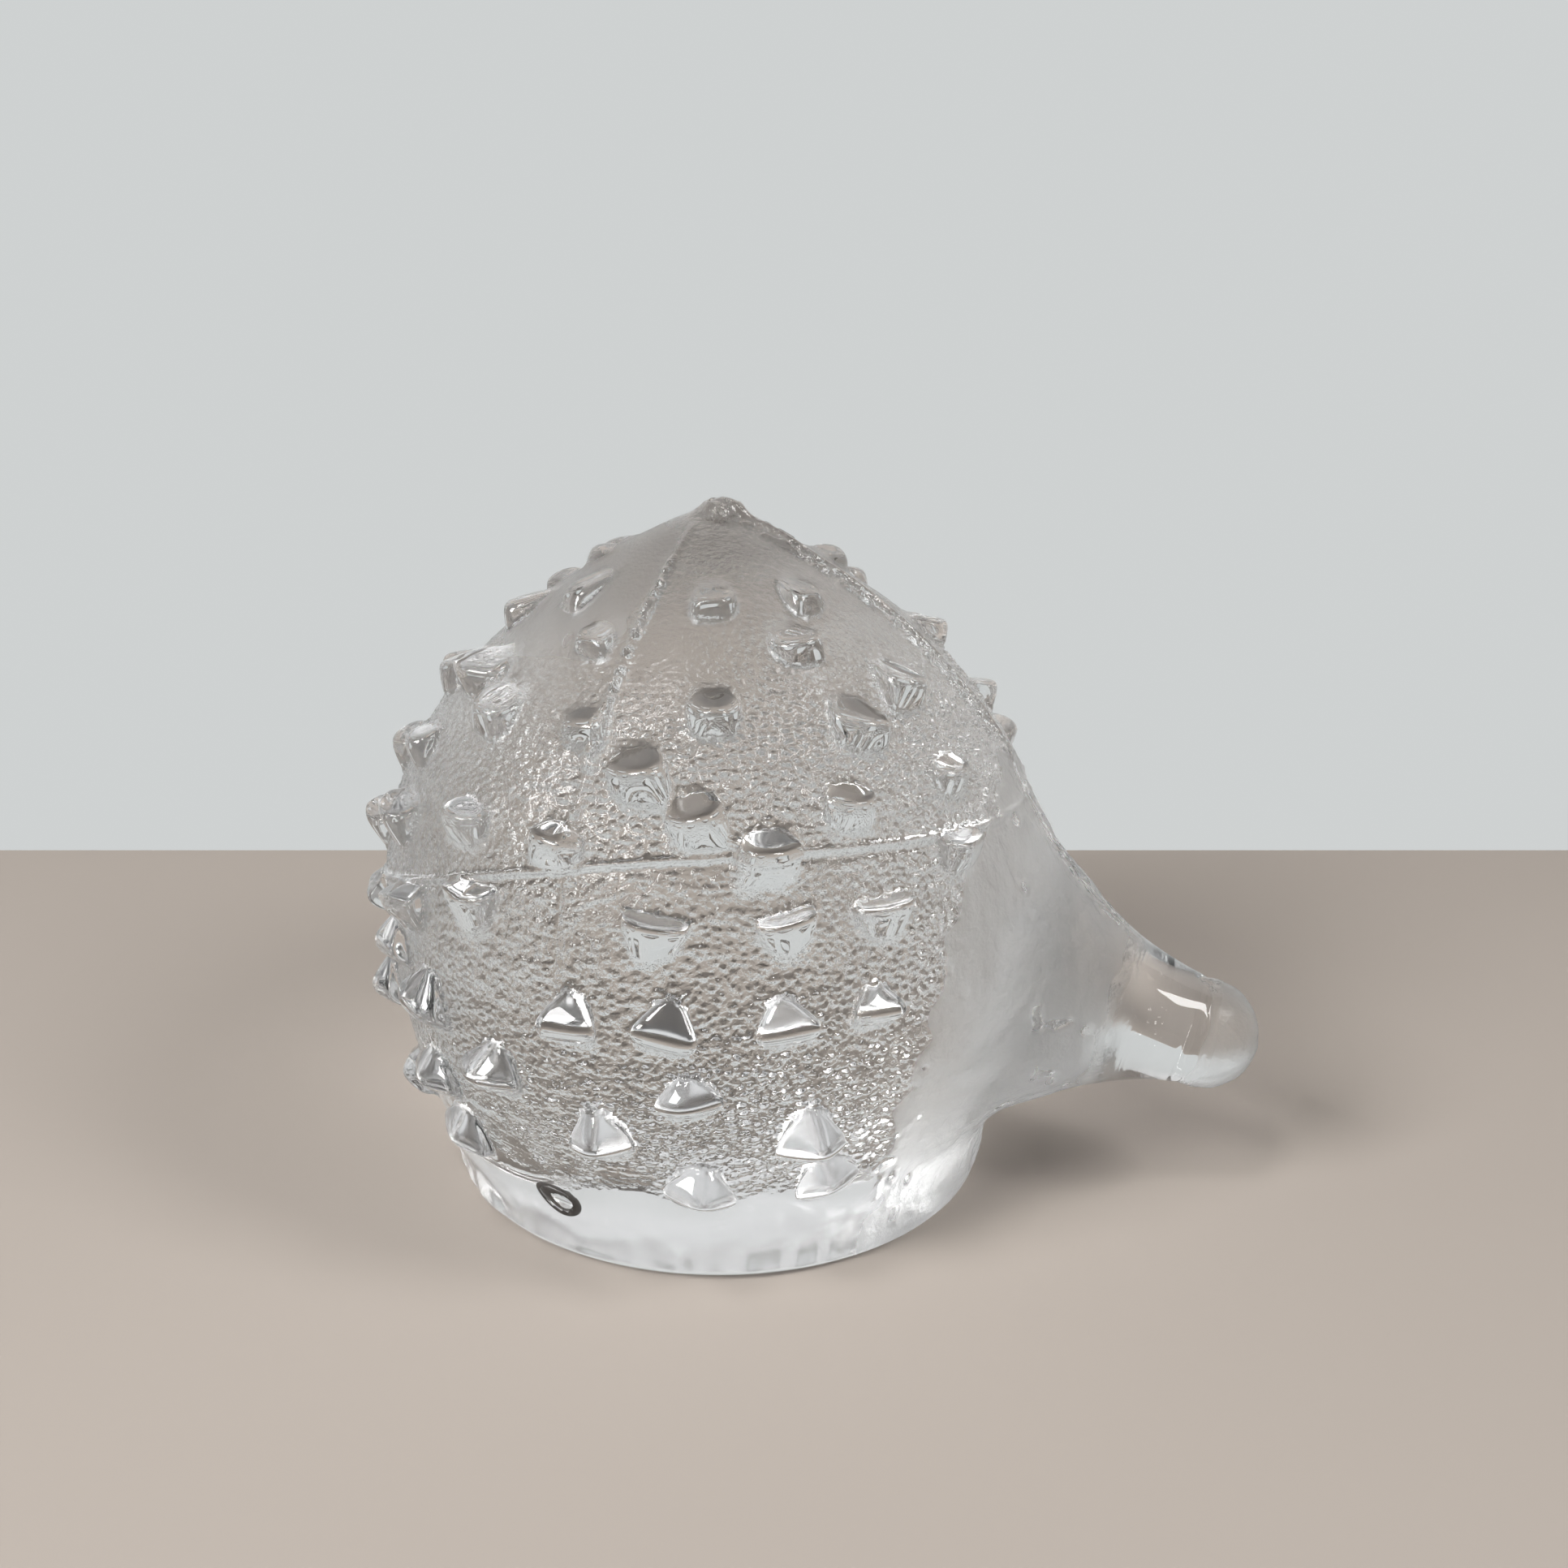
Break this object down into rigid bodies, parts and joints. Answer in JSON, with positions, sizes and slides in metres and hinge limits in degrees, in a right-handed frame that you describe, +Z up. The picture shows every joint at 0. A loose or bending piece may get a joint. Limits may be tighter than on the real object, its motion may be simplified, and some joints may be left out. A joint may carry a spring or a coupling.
{
  "type": "glass hedgehog figurine",
  "caption": "Solid clear pressed-glass hedgehog ornament: a domed, thorn-covered body on a smooth oval foot, with a drawn-out snout, for standing on a shelf or holding down paper.",
  "frame": {"origin": "middle of the oval foot's flat underside, under the crown", "axes": "+X along the snout, +Y to the animal's left, +Z up from the surface it stands on"},
  "size_m": [0.0995, 0.0772, 0.0762],
  "materials": {
    "smooth_glass": "clear fire-polished glass",
    "grained_glass": "clear glass with a leathery mould grain"
  },
  "bodies": {
    "root": {"foot": "smooth_glass", "crown_point": "smooth_glass", "upper_left_flank": "grained_glass", "upper_right_flank": "grained_glass", "upper_back": "grained_glass", "lower_left_flank": "grained_glass", "lower_right_flank": "grained_glass", "rump": "grained_glass", "head_left": "smooth_glass", "head_right": "smooth_glass", "nose_tip": "smooth_glass"}
  },
  "joints": []
}
